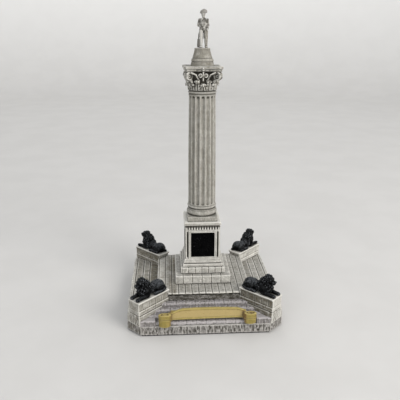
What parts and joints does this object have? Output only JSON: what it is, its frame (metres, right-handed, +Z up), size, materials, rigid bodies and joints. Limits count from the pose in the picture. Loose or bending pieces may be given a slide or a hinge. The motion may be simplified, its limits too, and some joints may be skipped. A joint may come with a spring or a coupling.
{
  "type": "miniature landmark model",
  "caption": "Souvenir miniature of a fluted monument column with a standing figure, panelled pedestal, stepped base, crouching lions and a blank ribbon.",
  "frame": {"origin": "centre of the underside of the base, on the surface it stands on", "axes": "+Z up along the column, -Y to the front with the ribbon, +X to the front's right"},
  "size_m": [0.1024, 0.1024, 0.1988],
  "materials": {
    "foam": "matte",
    "rough_resin": "matte",
    "pale_resin": "matte",
    "column_resin": "matte",
    "black_paint": "satin",
    "ochre_paint": "satin",
    "steel": "satin",
    "brass": "satin"
  },
  "bodies": {
    "root": {"base_pad": "foam", "foundation_slab": "rough_resin", "terrace_core": "rough_resin", "front_stair": "rough_resin", "back_stair": "rough_resin", "left_wing_steps": "pale_resin", "right_wing_steps": "pale_resin", "terrace_paving": "pale_resin", "step_course_lower": "pale_resin", "step_course_upper": "pale_resin", "sub_plinth": "pale_resin", "pedestal_base": "pale_resin", "pedestal_die": "pale_resin", "pedestal_cornice": "pale_resin", "relief_panel_front": "black_paint", "relief_panel_back": "black_paint", "relief_panel_left": "black_paint", "relief_panel_right": "black_paint", "column_base": "column_resin", "column_shaft": "column_resin", "column_capital": "column_resin", "statue_drum": "column_resin", "statue": "column_resin", "core_rod": "steel", "statue_pin": "brass", "lion_plinth_front_left": "pale_resin", "lion_plinth_front_right": "pale_resin", "lion_plinth_back_left": "pale_resin", "lion_plinth_back_right": "pale_resin", "lion_front_left": "black_paint", "lion_front_right": "black_paint", "lion_back_left": "black_paint", "lion_back_right": "black_paint", "banner": "ochre_paint"}
  },
  "joints": []
}
